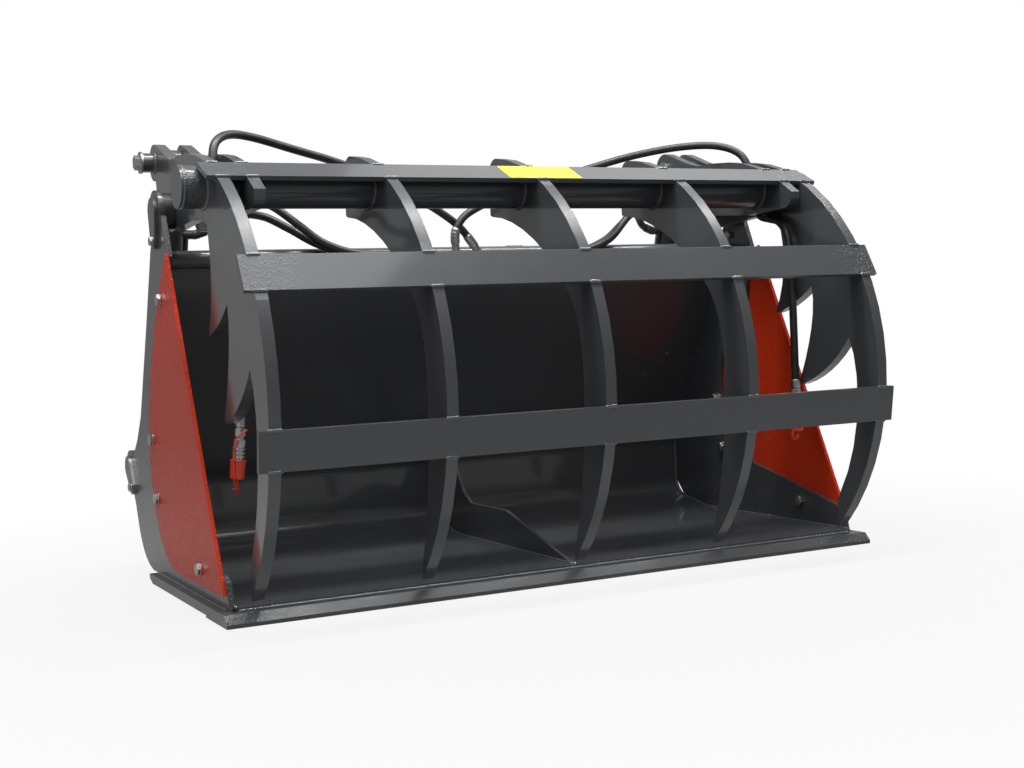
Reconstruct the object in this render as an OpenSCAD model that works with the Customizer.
// Grapple bucket for a front loader: a shell bucket with a hinged rake of toothed tines
// that two hydraulic cylinders close over the load.
// Millimetres, X to the machine's left and right, Y rearwards, Z up.
// The origin lies under the middle of the cutting edge, on the ground.

/* [Bucket] */
// Width over the cutting edge
bucket_w = 1600; // [1200:10:2400]
// Depth of the cutting edge plate
edge_depth = 150; // [100:5:250]
// Thickness of the cutting edge plate
edge_t = 25; // [16:1:40]
// Height of the blunt nose of the cutting edge
edge_nose = 8; // [3:1:20]
// Length of the bevel behind the nose
edge_bevel = 17; // [5:1:60]
// Thickness of the bent floor and back plate
shell_t = 8; // [5:1:15]
// Start of the floor plate behind the nose
floor_start = 40; // [20:5:100]
// Length of the flat floor, measured from the nose
floor_len = 640; // [400:10:900]
// Depth of the bucket inside, nose to the upright of the back
inner_depth = 792; // [500:10:1100]
// Rise of the sloping rear part of the floor
heel_rise = 30; // [0:5:100]
// Inner radius of the bend from floor to back
heel_r = 50; // [20:5:120]
// Height of the fold where the back starts to lean forwards
fold_z = 210; // [100:5:400]
// Inner radius of that fold
fold_r = 60; // [10:5:120]
// Height of the back's upper edge
back_top_z = 761; // [500:1:1000]
// Forward lean of the back at its upper edge
back_lean = 264; // [100:2:400]
// Outer diameter of the tube along the back's upper edge
top_tube_d = 42.4; // [30:0.1:60]
// Wall of that tube
top_tube_wall = 4; // [2:0.5:6]
// Height of the middle of that tube
top_tube_z = 742; // [500:1:1000]

/* [Side plates] */
// Distance over the outer faces of both side plates
side_span = 1560; // [1100:10:2350]
// Thickness of a side plate
side_t = 12; // [8:1:20]
// Radius of the plate round the main pivot
pivot_eye_r = 46; // [35:1:70]
// Radius of the plate round the lower cylinder pin
lug_r = 40; // [35:1:70]
// Radius of the round window in a side plate
window_r = 232; // [100:2:300]
// Thickness of the bolted side panels
panel_t = 8; // [4:1:12]
// Width of a side runner under the bucket
runner_w = 80; // [50:5:120]
// Length of a side runner
runner_len = 475; // [300:5:600]
// Height of the air gap under a side runner
runner_lift = 5; // [0:1:15]
// Width of a wear runner under the floor
wear_w = 100; // [50:5:150]
// Length of a wear runner
wear_len = 450; // [300:5:600]
// Distance of a wear runner from the middle
wear_x = 330; // [100:10:600]
// Thickness of the divider in the middle of the bucket
divider_t = 8; // [5:1:15]

/* [Rake] */
// Radius of the outer curve of all tines
tine_r = 532; // [300:2:800]
// Thickness of the tine plates
tine_t = 25; // [15:1:40]
// Spacing of the tines across the bucket
tine_pitch = 365; // [200:5:600]
// Spacing from an outer tine to the ear plate beside it
ear_pitch = 62; // [50:1:100]
// Radius of the ear round the cylinder's upper pin
ear_r = 42; // [30:1:60]
// Width of a cross bar
bar_w = 80; // [40:5:120]
// Thickness of a cross bar
bar_t = 10; // [6:1:20]
// Length of a cross bar
bar_len = 1525; // [1000:5:2300]
// Angle of the top bar round the tine's curve
top_bar_angle = 116; // [100:1:130]
// Angle of the middle bar
middle_bar_angle = 151; // [140:1:165]
// Angle of the lower bar
lower_bar_angle = 188.6; // [175:0.2:200]
// Outer diameter of the torque tube
tube_d = 88.9; // [60:0.1:120]
// Wall of the torque tube
tube_wall = 8; // [4:0.5:12]
// Length over the torque tube's end caps
tube_len = 1596; // [1100:2:2400]
// Thickness of an end cap
cap_t = 8; // [4:1:15]

/* [Pins and cylinders] */
// Diameter of the main pivot pins
pivot_pin_d = 40; // [25:1:60]
// Diameter of the cylinder's upper pins
ear_pin_d = 30; // [20:1:50]
// Diameter of the cylinder's lower pins
lower_pin_d = 25; // [20:1:50]
// Outer diameter of a cylinder barrel
barrel_d = 60; // [40:1:90]
// Bore of a cylinder barrel
bore_d = 50; // [30:1:80]
// Diameter of a piston rod
rod_d = 30; // [20:1:50]
// Distance from the upper pin to the barrel's open end
barrel_len = 500; // [300:5:700]
// Length of the gland in the barrel's end
gland_len = 40; // [20:1:80]
// Length of the piston
piston_len = 36; // [20:1:80]
// Width of the barrel's eye
barrel_eye_w = 35; // [25:1:60]
// Width of the rod's eye
rod_eye_w = 30; // [25:1:60]
// Outer radius of the rod's eye
rod_eye_r = 37; // [25:1:60]
// Bore radius of the rod's eye, with play for the open pivot
rod_eye_bore_r = 23; // [15:0.5:40]
// Outer diameter of a hydraulic hose
hose_d = 19; // [12:1:30]

/* [Hitch] */
// Distance between the middles of both hitch brackets
hitch_span = 1030; // [600:5:1400]
// Thickness of a hitch bracket
hitch_t = 25; // [15:1:40]
// Bore for the carrier's locking pins
hitch_bore_d = 36; // [25:1:60]
// Width of the hook's mouth
hook_w = 50; // [40:1:70]

/* [Hidden] */
$fn = 48;
// Overrun of every cut
cut = 1;
// Gap round welded-in parts
fit = 0.05;
// Radial running play of pins
play = 0.05;
// Side play between turning plates
side_play = 0.5;
// Facets of the round parts
fine_fn = 64;
small_fn = 32;
// Angle step of computed arcs
arc_step = 7;
// Steps of computed curves
curve_steps = 7;
hose_sides = 8;

paint = [0.30, 0.31, 0.32];
red = [0.62, 0.26, 0.20];
zinc = [0.78, 0.78, 0.76];
black = [0.06, 0.06, 0.06];
steel = [0.62, 0.62, 0.60];
cap_red = [0.88, 0.27, 0.16];

// Points in the side view, as [Y, Z] from the nose of the cutting edge
pivot = [490, 848];
ear = [625, 970];
lug = [857, 255];
tine_c = [390, 428];
tube_c = [225, 875];
side_in = side_span / 2 - side_t;
side_out = side_span / 2;
tine_x = 2 * tine_pitch;
ear_x = tine_x - ear_pitch;
cyl_x = tine_x - ear_pitch / 2;
slant = sqrt(pow(lug[0] - ear[0], 2) + pow(lug[1] - ear[1], 2));
slant_a = atan2(lug[1] - ear[1], lug[0] - ear[0]);

// Shared functions
function arc(c, r, a, b) =
    let (n = max(2, ceil(abs(b - a) / arc_step)))
    [for (i = [0:n]) let (t = a + (b - a) * i / n) [c[0] + r * cos(t), c[1] + r * sin(t)]];
function curve(p, q, r, s) =
    [for (i = [0:curve_steps]) let (t = i / curve_steps, u = 1 - t)
        u * u * u * p + 3 * u * u * t * q + 3 * u * t * t * r + t * t * t * s];
function unit(v) = v / norm(v);
function but_last(p) = [for (i = [0:len(p) - 2]) p[i]];
function inner_points(p) = [for (i = [1:len(p) - 2]) p[i]];
// A path with its corners rounded; each point is [y, z, radius]
function rounded(p) = [for (i = [0:len(p) - 1])
    let (a = [p[i][0], p[i][1]], r = p[i][2])
    each (i == 0 || i == len(p) - 1 || r == 0) ? [a] : bend(p[i - 1], a, p[i + 1], r)];
function bend(before, a, after, r) =
    let (u = unit([before[0], before[1]] - a),
        v = unit([after[0], after[1]] - a),
        half = acos(u * v) / 2,
        m = unit(u + v),
        c = a + m * r / sin(half),
        p = a + u * r / tan(half),
        q = a + v * r / tan(half),
        s = atan2(p[1] - c[1], p[0] - c[0]),
        e = atan2(q[1] - c[1], q[0] - c[0]),
        d = e - s > 180 ? e - s - 360 : e - s < -180 ? e - s + 360 : e - s)
    arc(c, r, s, s + d);
// The outline round two circles
function link(c, r, d, s) =
    let (v = d - c, l = norm(v), a = atan2(v[1], v[0]), b = acos((r - s) / l))
    concat(arc(c, r, a + b, a + 360 - b), arc(d, s, a - b, a + b));
function back(p) = [for (i = [len(p) - 1:-1:0]) p[i]];

// A flat outline stood up across the bucket, from x to x + t
module upright(x, t) {
    translate([x, 0, 0])
        rotate([90, 0, 90])
            linear_extrude(t)
                children();
}
module pin_x(x, l, c, r, f = fine_fn) {
    translate([x, c[0], c[1]])
        rotate([0, 90, 0])
            cylinder(h = l, r = r, $fn = f);
}
// Moves what is drawn from the nose to the part's origin
module from_nose() {
    translate([0, -edge_depth / 2, 0])
        children();
}
module right_side(s) {
    mirror([s < 0 ? 1 : 0, 0, 0])
        children();
}

// Floor and back
floor_z = edge_t + shell_t;
lean_a = atan2(back_lean, back_top_z - fold_z);
inner_path = [
    [floor_start, floor_z, 0],
    [floor_len, floor_z, 4 * heel_r],
    [inner_depth, floor_z + heel_rise, heel_r],
    [inner_depth, fold_z, fold_r],
    [inner_depth - back_lean, back_top_z, 0]
];
heel_a = atan2(heel_rise, inner_depth - floor_len);
outer_fold_z = fold_z + shell_t * tan(lean_a / 2);
heel_drop = shell_t * tan((90 - heel_a) / 2);
outer_path = [
    [floor_start, edge_t, 0],
    [floor_len + shell_t * tan(heel_a / 2), edge_t, 4 * heel_r + shell_t],
    [inner_depth + shell_t, floor_z + heel_rise - heel_drop, heel_r + shell_t],
    [inner_depth + shell_t, outer_fold_z, fold_r + shell_t],
    [inner_depth - back_lean + shell_t * cos(lean_a), back_top_z + shell_t * sin(lean_a), 0]
];
// Place of the back's outer face at a height above the fold
function back_y(z) = inner_depth + shell_t - (z - outer_fold_z) * tan(lean_a);
tube_y = back_y(top_tube_z) - shell_t / 2 / cos(lean_a);

module cutting_edge() {
    color(paint)
        from_nose()
            upright(-bucket_w / 2, bucket_w)
                polygon([
                    [0, 0], [edge_depth, 0], [edge_depth, edge_t],
                    [edge_bevel, edge_t], [0, edge_nose]
                ]);
}

module bucket_shell() {
    color(paint)
        from_nose()
            difference() {
                upright(-side_in, 2 * side_in)
                    polygon(concat(rounded(inner_path), back(rounded(outer_path))));
                pin_x(-side_in - cut, 2 * (side_in + cut), [tube_y, top_tube_z], top_tube_d / 2);
                upright(-side_in - cut, 2 * (side_in + cut))
                    translate([tube_y - 2 * top_tube_d, top_tube_z])
                        square([4 * top_tube_d, top_tube_d]);
            }
}

module back_top_tube() {
    middle = [tube_y, top_tube_z];
    color(paint)
        from_nose()
            difference() {
                pin_x(-side_in, 2 * side_in, middle, top_tube_d / 2);
                pin_x(-side_in - cut, 2 * (side_in + cut), middle, top_tube_d / 2 - top_tube_wall);
            }
}

runner_end = 25;
module runner(x, w, z, l) {
    upright(x, w)
        polygon([
            [edge_depth, z], [edge_depth + l - runner_end, z],
            [edge_depth + l, z + (edge_t - z) / 2], [edge_depth + l, edge_t],
            [edge_depth, edge_t]
        ]);
}
module side_runners() {
    color(paint)
        from_nose()
            for (s = [-1, 1])
                right_side(s)
                    runner(bucket_w / 2 - runner_w, runner_w, runner_lift, runner_len);
}
module wear_runners() {
    color(paint)
        from_nose()
            for (s = [-1, 1])
                right_side(s)
                    runner(wear_x - wear_w / 2, wear_w, 0, wear_len);
}

// Side plate, with the arm up to the pivot and the lug for the cylinder
window_c = [325, 383];
window_start = -67;
window_end = 62;
nose_foot = 48;
nose_top = [62, 80];
strip_step = [88, 91];
arm_foot = [424, 640];
arm_nose = [397, 743];
arm_top = [434, 832];
arm_back = [546, 762];
arm_knee = [616, 606];
flank = [722, 384];
lug_top = [770, 325];
lug_low = [850, 215];
heel_high = [817, 165];
heel_pull = [790, 95];
heel_toe_pull = [765, 40];
heel_end = [670, 25];
module side_outline() {
    polygon(concat(
        [[nose_foot, edge_t], nose_top, strip_step],
        arc(window_c, window_r, window_start, window_end),
        [arm_foot, arm_nose, arm_top, pivot, arm_back, arm_knee, flank, lug_top, lug, lug_low],
        curve(heel_high, heel_pull, heel_toe_pull, heel_end)
    ));
}
bolt_places = [[220, 88], [555, 205], [578, 338], [446, 651]];
bolt_d = 16;
bolt_af = 24;
bolt_head = 10;
nut_h = 13;
bolt_play = 0.5;
flag_bolt_d = 12;
flag_bolt_af = 19;
flag_bolt_head = 7.5;
pivot_flag_bolt = [490, 782];
lower_flag_bolt = [822, 208];
module side_plate(s) {
    color(paint)
        from_nose()
            right_side(s)
                difference() {
                    union() {
                        upright(side_in, side_t)
                            side_outline();
                        pin_x(side_in, side_t, pivot, pivot_eye_r);
                        pin_x(side_in, side_t, lug, lug_r);
                    }
                    pin_x(side_in - cut, side_t + 2 * cut, pivot, pivot_pin_d / 2 + play);
                    pin_x(side_in - cut, side_t + 2 * cut, lug, lower_pin_d / 2 + play);
                    for (p = bolt_places)
                        pin_x(side_in - cut, side_t + 2 * cut, p, bolt_d / 2 + bolt_play, small_fn);
                    for (p = [pivot_flag_bolt, lower_flag_bolt])
                        pin_x(side_in - cut, side_t + 2 * cut, p, flag_bolt_d / 2 + play, small_fn);
                }
}
module side_plate_left() { side_plate(-1); }
module side_plate_right() { side_plate(1); }

// Bolted side panel that closes the window
panel_foot = [60, 54];
panel_tip = [385, 748];
panel_tip_back = [402, 732];
panel_back_pull = [492, 640];
panel_rear_pull = [580, 500];
panel_rear = [612, 362];
panel_low_pull = [640, 225];
panel_heel_pull = [560, 54];
panel_heel = [415, 54];
module side_extension(s) {
    color(red)
        from_nose()
            right_side(s)
                difference() {
                    upright(side_out, panel_t)
                        polygon(concat(
                            [panel_foot, panel_tip],
                            but_last(curve(panel_tip_back, panel_back_pull, panel_rear_pull, panel_rear)),
                            curve(panel_rear, panel_low_pull, panel_heel_pull, panel_heel)
                        ));
                    for (p = bolt_places)
                        pin_x(side_out - cut, panel_t + 2 * cut, p, bolt_d / 2 + bolt_play, small_fn);
                }
}
module side_extension_left() { side_extension(-1); }
module side_extension_right() { side_extension(1); }

module hex_x(x, l, c, af) {
    pin_x(x, l, c, af / 2 / cos(30), 6);
}
module panel_bolts() {
    color(zinc)
        from_nose()
            for (s = [-1, 1], p = bolt_places)
                right_side(s) {
                    hex_x(side_out + panel_t, bolt_head, p, bolt_af);
                    pin_x(side_in - nut_h, side_t + nut_h + panel_t, p, bolt_d / 2, small_fn);
                    difference() {
                        hex_x(side_in - nut_h, nut_h, p, bolt_af);
                        pin_x(side_in - nut_h - cut, nut_h + 2 * cut, p, bolt_d / 2 + play, small_fn);
                    }
                }
}

// Divider on the floor in the middle
divider_front = 45;
divider_knee = [365, 121];
divider_flat = [559, 121];
divider_rise = [602, 147];
divider_back_z = 343;
module centre_divider() {
    color(paint)
        from_nose()
            upright(-divider_t / 2, divider_t)
                difference() {
                    polygon(concat(
                        [[divider_front, floor_z - cut], divider_knee, divider_flat, divider_rise],
                        [[back_y(divider_back_z), divider_back_z], [inner_depth + cut, fold_z]],
                        [[inner_depth + cut, floor_z - cut]]
                    ));
                    shell_body();
                }
}
// Everything outside the shell's inner face
module shell_body() {
    far = inner_depth + back_lean;
    polygon(concat(
        rounded(inner_path),
        [[far, back_top_z], [far, -edge_t], [-edge_t, -edge_t], [-edge_t, floor_z]]
    ));
}

// Ribs behind the back
rib_x = 270;
rib_t = 10;
rib_depth = 45;
rib_low = 110;
rib_high = 600;
module back_stiffeners() {
    color(paint)
        from_nose()
            for (s = [-1, 1])
                right_side(s)
                    upright(rib_x - rib_t / 2, rib_t)
                        polygon(concat(
                            [[inner_depth + shell_t, rib_low]],
                            [[inner_depth + shell_t + rib_depth, rib_low + rib_depth]],
                            [[inner_depth + shell_t + rib_depth, outer_fold_z]],
                            [[back_y(rib_high) + rib_depth, rib_high - rib_depth]],
                            [[back_y(rib_high), rib_high]],
                            back(back_curve())
                        ));
}
// The back's outer face round the fold, from low to high
function back_curve() =
    let (c = outer_path[3])
    bend(outer_path[2], [c[0], c[1]], outer_path[4], c[2]);

// Bracket with the hook and the bore for the loader's tool carrier
hitch_hook = [845, 610];
hitch_bore = [862, 150];
hook_lip = 30;
hook_top = 32;
hook_mouth_z = 560;
hitch_top_z = 640;
hitch_low_z = 105;
hitch_lobe = 42;
hitch_waist = [812, 300];
module hitch_bracket(s) {
    lip_y = hitch_hook[0] + hook_w / 2 + hook_lip;
    top_z = hitch_hook[1] + hook_w / 2 + hook_top;
    color(paint)
        from_nose()
            right_side(s)
                difference() {
                    union() {
                        upright(hitch_span / 2 - hitch_t / 2, hitch_t)
                            polygon(concat(
                                rounded([
                                    [back_y(hitch_top_z), hitch_top_z, 0],
                                    [hitch_hook[0] - hook_w, top_z, hook_lip],
                                    [lip_y, top_z, hook_lip],
                                    [lip_y, hook_mouth_z, 0]
                                ]),
                                [[hitch_hook[0] - hook_w / 2, hook_mouth_z], hitch_waist],
                                [[hitch_bore[0] + hitch_lobe, hitch_bore[1]]],
                                [[hitch_bore[0], hitch_bore[1] - hitch_lobe]],
                                [[inner_depth + shell_t, hitch_low_z]],
                                back_curve()
                            ));
                        pin_x(hitch_span / 2 - hitch_t / 2, hitch_t, hitch_bore, hitch_lobe);
                    }
                    pin_x(hitch_span / 2 - hitch_t, 2 * hitch_t, hitch_bore, hitch_bore_d / 2);
                    pin_x(hitch_span / 2 - hitch_t, 2 * hitch_t, hitch_hook, hook_w / 2);
                    upright(hitch_span / 2 - hitch_t, 2 * hitch_t)
                        translate([hitch_hook[0] - hook_w / 2, hook_mouth_z - cut])
                            square([hook_w, hitch_hook[1] - hook_mouth_z + cut]);
                }
}
module hitch_bracket_left() { hitch_bracket(-1); }
module hitch_bracket_right() { hitch_bracket(1); }

// Inner plate that carries the cylinder's lower pin
inner_lug_t = 12;
inner_lug_x = 665;
lug_foot_z = 170;
lug_head_z = 345;
module cylinder_lug(s) {
    color(paint)
        from_nose()
            right_side(s)
                difference() {
                    union() {
                        upright(inner_lug_x, inner_lug_t)
                            polygon(concat(
                                [[inner_depth + shell_t, lug_foot_z]],
                                back_curve(),
                                [[back_y(lug_head_z), lug_head_z]],
                                [[lug[0], lug[1] + lug_r], lug, [lug[0], lug[1] - lug_r]]
                            ));
                        pin_x(inner_lug_x, inner_lug_t, lug, lug_r);
                    }
                    pin_x(inner_lug_x - cut, inner_lug_t + 2 * cut, lug, lower_pin_d / 2 + play);
                }
}
module cylinder_lug_left() { cylinder_lug(-1); }
module cylinder_lug_right() { cylinder_lug(1); }

// Pins with flag plates, held by one bolt each
flag_t = 8;
flag_r = 30;
flag_tip_r = 18;
lower_flag_r = 26;
pin_end = 6;
pin_end_r = 26;
module flag(c, r, d) {
    difference() {
        upright(side_out, flag_t)
            polygon(link(c, r, d, flag_tip_r));
        pin_x(side_out - cut, flag_t + 2 * cut, d, flag_bolt_d / 2 + play, small_fn);
    }
}
module pivot_pin(s) {
    inner = ear_x - tine_t / 2 - side_play - pin_end;
    color(steel)
        from_nose()
            right_side(s) {
                pin_x(inner + pin_end / 2, side_out - inner, pivot, pivot_pin_d / 2);
                pin_x(inner, pin_end, pivot, pin_end_r);
                flag(pivot, flag_r, pivot_flag_bolt);
            }
}
module pivot_pin_left() { pivot_pin(-1); }
module pivot_pin_right() { pivot_pin(1); }

bush_r = 40;
module pivot_bushes() {
    start = tine_x + tine_t / 2 + side_play;
    color(black)
        from_nose()
            for (s = [-1, 1])
                right_side(s)
                    difference() {
                        pin_x(start, side_in - start, pivot, bush_r);
                        pin_x(tine_x, side_in - tine_x + cut, pivot, pivot_pin_d / 2 + play);
                    }
}

lower_pin_end_r = 18;
module lower_pin(s) {
    inner = inner_lug_x - pin_end;
    color(steel)
        from_nose()
            right_side(s) {
                pin_x(inner + pin_end / 2, side_out - inner, lug, lower_pin_d / 2);
                pin_x(inner, pin_end, lug, lower_pin_end_r);
                flag(lug, lower_flag_r, lower_flag_bolt);
            }
}
module lower_pin_left() { lower_pin(-1); }
module lower_pin_right() { lower_pin(1); }

spacer_r = 20;
module lower_spacers() {
    outer_x = cyl_x + rod_eye_w / 2 + side_play;
    inner_x = inner_lug_x + inner_lug_t;
    inner_l = cyl_x - rod_eye_w / 2 - side_play - inner_x;
    color(steel)
        from_nose()
            for (s = [-1, 1], e = [[outer_x, side_in - outer_x], [inner_x, inner_l]])
                right_side(s)
                    difference() {
                        pin_x(e[0], e[1], lug, spacer_r, small_fn);
                        pin_x(e[0] - cut, e[1] + 2 * cut, lug, lower_pin_d / 2 + play, small_fn);
                    }
}

flag_nut_h = 10;
module flag_bolts() {
    nut_x = side_in - flag_nut_h;
    color(zinc)
        from_nose()
            for (s = [-1, 1], p = [pivot_flag_bolt, lower_flag_bolt])
                right_side(s) {
                    hex_x(side_out + flag_t, flag_bolt_head, p, flag_bolt_af);
                    pin_x(nut_x, side_t + flag_nut_h + flag_t, p, flag_bolt_d / 2, small_fn);
                    difference() {
                        hex_x(nut_x, flag_nut_h, p, flag_bolt_af);
                        pin_x(nut_x - cut, flag_nut_h + 2 * cut, p, flag_bolt_d / 2 + play, small_fn);
                    }
                }
}

// Small guide behind the back's upper edge that keeps the hoses off the plate
guide_x = 132;
guide_w = 43;
guide_t = 12;
guide_low = 715;
guide_high = 766;
module hose_guide() {
    color(steel)
        from_nose()
            translate([guide_x, tube_y + top_tube_d / 2, guide_low])
                cube([guide_w, guide_t, guide_high - guide_low]);
}

// Tines, drawn round the middle of their outer curve in shares of its radius
tip_angle = 225;
head_angle = 96.5;
outer_tooth_shares = [
    [[-0.201, 0.731], [-0.24, 0.725], [-0.29, 0.71], [-0.336, 0.697]],
    [[-0.336, 0.697], [-0.376, 0.577], [-0.385, 0.417], [-0.293, 0.263]],
    [[-0.293, 0.263], [-0.376, 0.274], [-0.479, 0.32], [-0.564, 0.38]],
    [[-0.564, 0.38], [-0.598, 0.248], [-0.508, 0.041], [-0.46, -0.053]],
    [[-0.468, -0.073], [-0.592, -0.049], [-0.733, 0.041], [-0.812, 0.143]],
    [[-0.812, 0.143], [-0.893, -0.015], [-0.874, -0.335], [-0.722, -0.558]],
    [[-0.722, -0.558], [-0.699, -0.607], [-0.688, -0.664], [-0.695, -0.719]]
];
inner_edge_shares = [
    [[-0.075, 0.739], [-0.263, 0.727], [-0.545, 0.596], [-0.692, 0.419]],
    [[-0.692, 0.419], [-0.771, 0.342], [-0.812, 0.248], [-0.825, 0.085]],
    [[-0.825, 0.085], [-0.827, -0.109], [-0.808, -0.316], [-0.759, -0.496]],
    [[-0.759, -0.496], [-0.742, -0.56], [-0.711, -0.635], [-0.695, -0.719]]
];
function shared(q) = [for (p = q) tine_c + tine_r * p];
// Curves one after the other, without a joint's point twice
function edge(list) = [for (i = [0:len(list) - 1])
    let (p = shared(list[i]), c = curve(p[0], p[1], p[2], p[3]))
    each i < len(list) - 1 && list[i][3] == list[min(i + 1, len(list) - 1)][0] ? but_last(c) : c];
hump = [415, 963];
valley_pulls = [[475, 951], [540, 985]];
ear_front = [606, 1008];
ear_neck = [611, 905];
pivot_rear = [534, 835];
pivot_low = [480, 803];
head_points = concat(curve(hump, valley_pulls[0], valley_pulls[1], ear_front), [ear, ear_neck, pivot_rear]);
// Round eyes and bores of a plate whose outer face is at x
module head_eyes(x) {
    pin_x(x - tine_t, tine_t, ear, ear_r);
    pin_x(x - tine_t, tine_t, pivot, pivot_eye_r);
}
module head_holes(x, over) {
    pin_x(x - tine_t - cut, tine_t + 2 * cut, tube_c, tube_d / 2 + fit);
    pin_x(x - tine_t - cut, tine_t + 2 * cut, pivot, pivot_pin_d / 2 + play);
    pin_x(x - tine_t - cut, tine_t + over + 2 * cut, ear, ear_pin_d / 2 + play);
}
// The place of a bar on the outer curve
module on_curve(a) {
    translate(tine_c)
        rotate(a)
            translate([tine_r - bar_t, -bar_w / 2])
                children();
}
module bar_notch(a) {
    on_curve(a)
        translate([-fit, -fit])
            square([bar_t + bar_w, bar_w + 2 * fit]);
}
module tine_holes() {
    translate(tube_c)
        circle(tube_d / 2 + fit, $fn = fine_fn);
}
// Boss welded on the outer tine round the cylinder's upper pin
boss_r = 22;
boss_len = 28;
module outer_tine(s) {
    outer = tine_x + tine_t / 2;
    color(paint)
        from_nose()
            right_side(s)
                difference() {
                    union() {
                        upright(outer - tine_t, tine_t)
                            difference() {
                                polygon(concat(
                                    edge(outer_tooth_shares),
                                    arc(tine_c, tine_r, tip_angle, head_angle),
                                    head_points,
                                    [pivot, pivot_low]
                                ));
                                for (a = [top_bar_angle, middle_bar_angle, lower_bar_angle])
                                    bar_notch(a);
                            }
                        head_eyes(outer);
                        pin_x(outer - tine_t / 2, tine_t / 2 + boss_len, ear, boss_r);
                    }
                    head_holes(outer, boss_len);
                }
}
module outer_tine_left() { outer_tine(-1); }
module outer_tine_right() { outer_tine(1); }

tine_end = 365;
tine_end_high = 950;
tine_end_low = 825;
tine_end_r = 36;
module inner_tine(n) {
    low = shared(inner_edge_shares[0])[0];
    outer = arc(tine_c, tine_r, tip_angle, head_angle);
    high = outer[len(outer) - 1];
    color(paint)
        from_nose()
            upright(n * tine_pitch - tine_t / 2, tine_t)
                difference() {
                    polygon(concat(
                        edge(inner_edge_shares),
                        outer,
                        inner_points(rounded([
                            [high[0], high[1], 0],
                            [tine_end, tine_end_high, tine_end_r],
                            [tine_end, tine_end_low, tine_end_r / 6],
                            [low[0], low[1], 0]
                        ]))
                    ));
                    tine_holes();
                    for (a = [top_bar_angle, middle_bar_angle, lower_bar_angle])
                        bar_notch(a);
                }
}
module inner_tine_1() { inner_tine(-1); }
module inner_tine_2() { inner_tine(0); }
module inner_tine_3() { inner_tine(1); }

plate_under = [[400, 826], [260, 816]];
plate_front = [80, 822];
plate_front_r = 32;
plate_angle = 126;
module ear_plate(s) {
    start = arc(tine_c, tine_r, plate_angle, head_angle);
    color(paint)
        from_nose()
            right_side(s)
                difference() {
                    union() {
                        upright(ear_x - tine_t / 2, tine_t)
                            difference() {
                                polygon(concat(
                                    [pivot_low, plate_under[0]],
                                    but_last(rounded([
                                        [plate_under[1][0], plate_under[1][1], 0],
                                        [plate_front[0], plate_front[1], plate_front_r],
                                        [start[0][0], start[0][1], 0]
                                    ])),
                                    start,
                                    head_points,
                                    [pivot]
                                ));
                                bar_notch(top_bar_angle);
                            }
                        head_eyes(ear_x + tine_t / 2);
                    }
                    head_holes(ear_x + tine_t / 2, 0);
                }
}
module ear_plate_left() { ear_plate(-1); }
module ear_plate_right() { ear_plate(1); }

module torque_tube() {
    color(paint)
        from_nose()
            difference() {
                pin_x(-tube_len / 2 + cap_t, tube_len - 2 * cap_t, tube_c, tube_d / 2);
                pin_x(-tube_len / 2, tube_len, tube_c, tube_d / 2 - tube_wall);
            }
}
module tube_caps() {
    color(paint)
        from_nose()
            for (s = [-1, 1])
                right_side(s)
                    pin_x(tube_len / 2 - cap_t, cap_t, tube_c, tube_d / 2);
}

module bar(a) {
    color(paint)
        from_nose()
            upright(-bar_len / 2, bar_len)
                on_curve(a)
                    square([bar_t, bar_w]);
}
module top_bar() { bar(top_bar_angle); }
module middle_bar() { bar(middle_bar_angle); }
module lower_bar() { bar(lower_bar_angle); }

// Pin between cylinder and rake
washer_r = 25;
washer_t = 5;
pin_head_af = 30;
pin_head_h = 12;
module ear_pin(s) {
    inner = ear_x - tine_t / 2 - side_play - pin_end;
    outer = tine_x + tine_t / 2 + boss_len;
    color(zinc)
        from_nose()
            right_side(s) {
                pin_x(inner + pin_end / 2, outer - inner, ear, ear_pin_d / 2);
                pin_x(inner, pin_end, ear, pin_end_r - pin_end);
                pin_x(outer, washer_t, ear, washer_r);
                hex_x(outer + washer_t, pin_head_h, ear, pin_head_af);
            }
}
module ear_pin_left() { ear_pin(-1); }
module ear_pin_right() { ear_pin(1); }

// Cylinders; a, b and c are the ports' distances from the upper pin
barrel_start = 62;
neck_w = 34;
eye_r = 30;
port_a = 80;
port_b = 170;
port_c = 470;
port_r = 11;
port_a_x = 640;
port_b_x = 650;
pipe_r = 6;
pipe_x = cyl_x - barrel_d / 2 - pipe_r - 2 * side_play;
module barrel(s) {
    color(paint)
        from_nose()
            right_side(s)
                difference() {
                    union() {
                        pin_x(cyl_x - barrel_eye_w / 2, barrel_eye_w, ear, eye_r);
                        along_barrel(0, barrel_start, neck_w / 2);
                        along_barrel(barrel_start, barrel_len - barrel_start, barrel_d / 2);
                        port(port_a, port_a_x);
                        port(port_b, port_b_x);
                        port(port_c, pipe_x - 2 * pipe_r);
                    }
                    along_barrel(barrel_start + shell_t, barrel_len, bore_d / 2);
                    pin_x(cyl_x - barrel_d, 2 * barrel_d, ear, ear_pin_d / 2 + play);
                    along_barrel(port_b, port_c - port_b, pipe_r + fit, pipe_x);
                }
}
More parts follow.
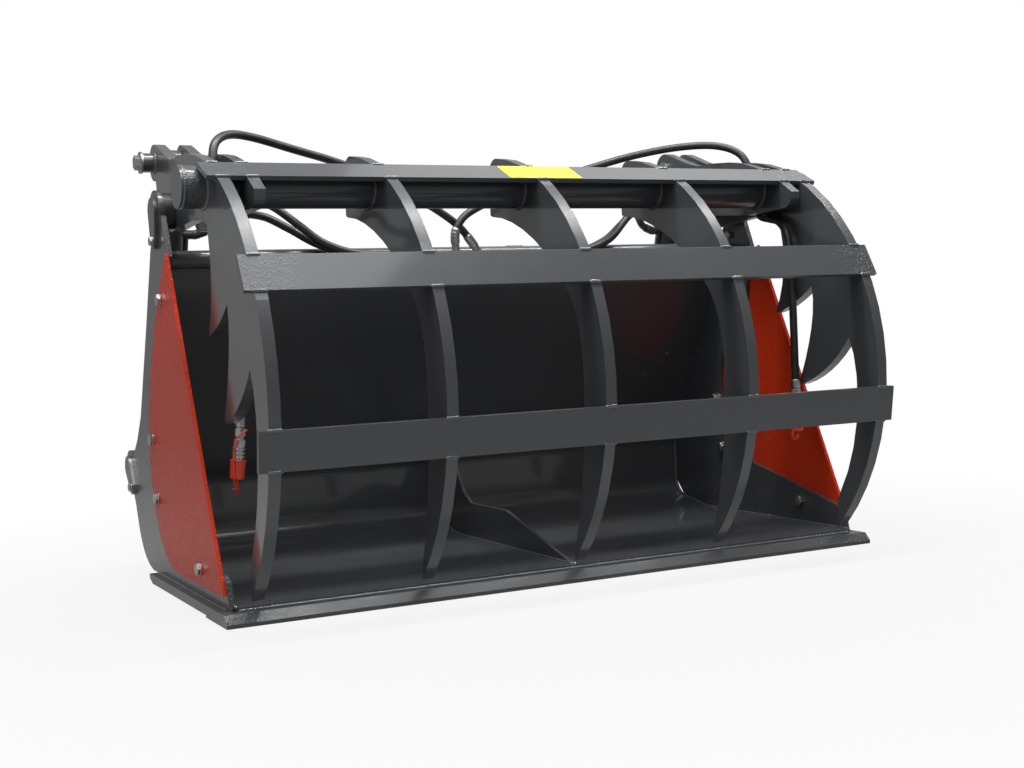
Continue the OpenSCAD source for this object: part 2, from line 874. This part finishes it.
// A round bar along the cylinder, from a distance past the upper pin
module along_barrel(a, l, r, x = cyl_x) {
    translate([x, ear[0], ear[1]])
        rotate([slant_a - 90, 0, 0])
            translate([0, 0, a])
                cylinder(h = l, r = r, $fn = fine_fn);
}
module port(a, x) {
    p = ear + a * [cos(slant_a), sin(slant_a)];
    pin_x(x, cyl_x - bore_d / 2 - side_play * 2 - x, p, port_r, small_fn);
}
module barrel_left() { barrel(-1); }
module barrel_right() { barrel(1); }
module port_pipe(s) {
    color(zinc)
        from_nose()
            right_side(s)
                along_barrel(port_b + fit, port_c - port_b - 2 * fit, pipe_r, pipe_x);
}
module port_pipe_left() { port_pipe(-1); }
module port_pipe_right() { port_pipe(1); }
module gland(s) {
    color(steel)
        from_nose()
            right_side(s)
                difference() {
                    along_barrel(barrel_len - gland_len, gland_len, bore_d / 2 - fit);
                    along_barrel(barrel_len - gland_len - cut, gland_len + 2 * cut, rod_d / 2 + play);
                }
}
module gland_left() { gland(-1); }
module gland_right() { gland(1); }
piston_rest = 400;
module piston(s) {
    color(steel)
        from_nose()
            right_side(s)
                difference() {
                    along_barrel(piston_rest, piston_len, bore_d / 2 - play);
                    along_barrel(piston_rest - cut, piston_len + 2 * cut, rod_d / 4 + fit);
                }
}
module piston_left() { piston(-1); }
module piston_right() { piston(1); }
module rod(s) {
    color(zinc)
        from_nose()
            right_side(s)
                difference() {
                    union() {
                        along_barrel(piston_rest, piston_len, rod_d / 4);
                        along_barrel(piston_rest + piston_len, slant - piston_rest - piston_len, rod_d / 2);
                        pin_x(cyl_x - rod_eye_w / 2, rod_eye_w, lug, rod_eye_r);
                    }
                    pin_x(cyl_x - rod_eye_w, 2 * rod_eye_w, lug, rod_eye_bore_r);
                }
}
module rod_left() { rod(-1); }
module rod_right() { rod(1); }

// Hydraulic tees between both cylinders
tee_a = [-58, 470, 736];
tee_b = [27, 500, 736];
// Way from the middle of a tee to the end of its stem
stem_a = [0, 0, 30];
stem_b = [-18, 0, 24];
tee_half = 28;
tee_r = 11;
stem_r = 9.5;
module tee(p, stem) {
    translate(p) {
        translate([-tee_half, 0, 0])
            rotate([0, 90, 0])
                cylinder(h = 2 * tee_half, r = tee_r, $fn = small_fn);
        rotate([0, atan2(stem[0], stem[2]), 0])
            cylinder(h = norm(stem), r = stem_r, $fn = small_fn);
    }
}
module hose_tees() {
    color(zinc)
        from_nose() {
            tee(tee_a, stem_a);
            tee(tee_b, stem_b);
        }
}

// Hoses: a tube swept along a rounded route
function along(p, i, t) =
    let (a = p[max(0, i - 1)], b = p[i], c = p[i + 1], d = p[min(len(p) - 1, i + 2)])
    0.5 * (2 * b + (c - a) * t + (2 * a - 5 * b + 4 * c - d) * t * t + (3 * b - a - 3 * c + d) * t * t * t);
function route(p, n) = concat(
    [for (i = [0:len(p) - 2], k = [0:n - 1]) along(p, i, k / n)],
    [p[len(p) - 1]]
);
function heading(p, i) = unit(p[min(len(p) - 1, i + 1)] - p[max(0, i - 1)]);
function carried(v, t) = unit(v - (v * t) * t);
function sides(p, i, v) = i == 0 ? carried(v, heading(p, 0)) : carried(sides(p, i - 1, v), heading(p, i));
module tube(p, r, v) {
    m = len(p);
    points = [for (i = [0:m - 1]) let (t = heading(p, i), a = sides(p, i, v), b = cross(t, a))
        for (k = [0:hose_sides - 1]) let (w = 360 * k / hose_sides) p[i] + r * (cos(w) * a + sin(w) * b)];
    wall = [for (i = [0:m - 2], k = [0:hose_sides - 1])
        let (j = (k + 1) % hose_sides, a = i * hose_sides, b = a + hose_sides)
        each [[a + k, b + k, b + j], [a + k, b + j, a + j]]];
    polyhedron(points = points, faces = concat(wall,
        [[for (k = [0:hose_sides - 1]) k]],
        [[for (k = [hose_sides - 1:-1:0]) (m - 1) * hose_sides + k]]));
}
a_end = ear + port_a * [cos(slant_a), sin(slant_a)];
b_end = ear + port_b * [cos(slant_a), sin(slant_a)];
function mirrored(p, s) = [for (q = p) [s * q[0], q[1], q[2]]];
a_points = [
    [150, 474, 740], [300, 480, 746], [385, 490, 772], [440, 505, 815],
    [495, 530, 862], [545, 572, 890], [597, 634, 896]
];
b_points = [
    [150, 503, 740], [300, 505, 745], [390, 520, 772], [455, 543, 812],
    [508, 574, 843], [560, 626, 849], [603, 666, 822]
];
hose_gap = 0.5;
end_run = 10;
// From a tee to a port, straight at both ends
function cylinder_route(t, points, x, end, s) =
    let (first = t + [s * (tee_half + hose_gap), 0, 0],
        last = [s * (x - hose_gap), end[0], end[1]])
    concat(
        [first],
        route(concat([first + [s * end_run, 0, 0]], mirrored(points, s), [last - [s * end_run, 0, 0]]), 1),
        [last]
    );
module hose_a(s) {
    color(black)
        from_nose()
            tube(cylinder_route(tee_a, a_points, port_a_x, a_end, s), hose_d / 2, [0, 0, 1]);
}
module hose_b(s) {
    color(black)
        from_nose()
            tube(cylinder_route(tee_b, b_points, port_b_x, b_end, s), hose_d / 2, [0, 0, 1]);
}
module cylinder_hose_a_left() { hose_a(-1); }
module cylinder_hose_a_right() { hose_a(1); }
module cylinder_hose_b_left() { hose_b(-1); }
module cylinder_hose_b_right() { hose_b(1); }

// Supply hoses, put away between the outer tines and the ear plates
left_points = [
    [-27, 500, 805], [-64, 499, 834], [-130, 497, 872], [-219, 490, 909], [-330, 480, 954],
    [-470, 440, 984], [-575, 400, 1003], [-640, 362, 1003], [-682, 324, 981], [-697, 302, 940],
    [-699, 295, 885], [-699, 285, 840], [-699, 259, 813], [-699, 225, 804], [-699, 187, 794],
    [-699, 159, 766], [-699, 149, 728], [-699, 158, 610], [-699, 180, 480], [-699, 184, 379]
];
right_points = [
    [-51, 470, 808], [-25, 471, 837], [32, 474, 865], [105, 479, 890], [187, 485, 911],
    [334, 470, 955], [455, 450, 986], [560, 410, 1003], [638, 366, 1003], [682, 326, 982],
    [697, 302, 942], [699, 295, 885], [699, 285, 840], [699, 259, 813], [699, 225, 804],
    [699, 187, 794], [699, 159, 766], [699, 149, 728], [699, 142, 620], [699, 140, 500],
    [699, 140, 382]
];
// From the stem of a tee along a row of points
function stem_route(t, stem, points) =
    concat([t + stem + hose_gap * unit(stem), t + stem + 2 * end_run * unit(stem)], points);
module supply_hose_left() {
    color(black)
        from_nose()
            tube(stem_route(tee_b, stem_b, left_points), hose_d / 2, [0, 1, 0]);
}
module supply_hose_right() {
    color(black)
        from_nose()
            tube(stem_route(tee_a, stem_a, right_points), hose_d / 2, [0, 1, 0]);
}
coupling_body = 44;
coupling_neck = 36;
coupling_r = 14;
coupling_neck_r = 11;
cap_len = 40;
cap_over = 12;
cap_r = 17;
module coupling(p) {
    translate(p - [0, 0, hose_gap])
        mirror([0, 0, 1]) {
            cylinder(h = coupling_body, r = coupling_r, $fn = small_fn);
            translate([0, 0, coupling_body])
                cylinder(h = coupling_neck, r = coupling_neck_r, $fn = small_fn);
        }
}
module coupling_left() {
    color(zinc)
        from_nose()
            coupling(left_points[len(left_points) - 1]);
}
module coupling_right() {
    color(zinc)
        from_nose()
            coupling(right_points[len(right_points) - 1]);
}
module dust_cap(p) {
    translate(p - [0, 0, hose_gap + coupling_body + coupling_neck + cap_len - cap_over])
        difference() {
            cylinder(h = cap_len, r = cap_r, $fn = small_fn);
            translate([0, 0, cap_len - cap_over])
                cylinder(h = cap_len, r = coupling_neck_r + fit, $fn = small_fn);
        }
}
module dust_cap_left() {
    color(cap_red)
        from_nose()
            dust_cap(left_points[len(left_points) - 1]);
}
module dust_cap_right() {
    color(cap_red)
        from_nose()
            dust_cap(right_points[len(right_points) - 1]);
}

cutting_edge();
side_runners();
wear_runners();
bucket_shell();
back_top_tube();
side_plate_left();
side_plate_right();
side_extension_left();
side_extension_right();
panel_bolts();
centre_divider();
back_stiffeners();
hitch_bracket_left();
hitch_bracket_right();
cylinder_lug_left();
cylinder_lug_right();
lower_pin_left();
lower_pin_right();
lower_spacers();
pivot_pin_left();
pivot_pin_right();
pivot_bushes();
flag_bolts();
hose_guide();
outer_tine_left();
outer_tine_right();
inner_tine_1();
inner_tine_2();
inner_tine_3();
ear_plate_left();
ear_plate_right();
torque_tube();
tube_caps();
top_bar();
middle_bar();
lower_bar();
ear_pin_left();
ear_pin_right();
barrel_left();
barrel_right();
port_pipe_left();
port_pipe_right();
gland_left();
gland_right();
piston_left();
piston_right();
rod_left();
rod_right();
hose_tees();
cylinder_hose_a_left();
cylinder_hose_a_right();
cylinder_hose_b_left();
cylinder_hose_b_right();
supply_hose_left();
supply_hose_right();
coupling_left();
coupling_right();
dust_cap_left();
dust_cap_right();
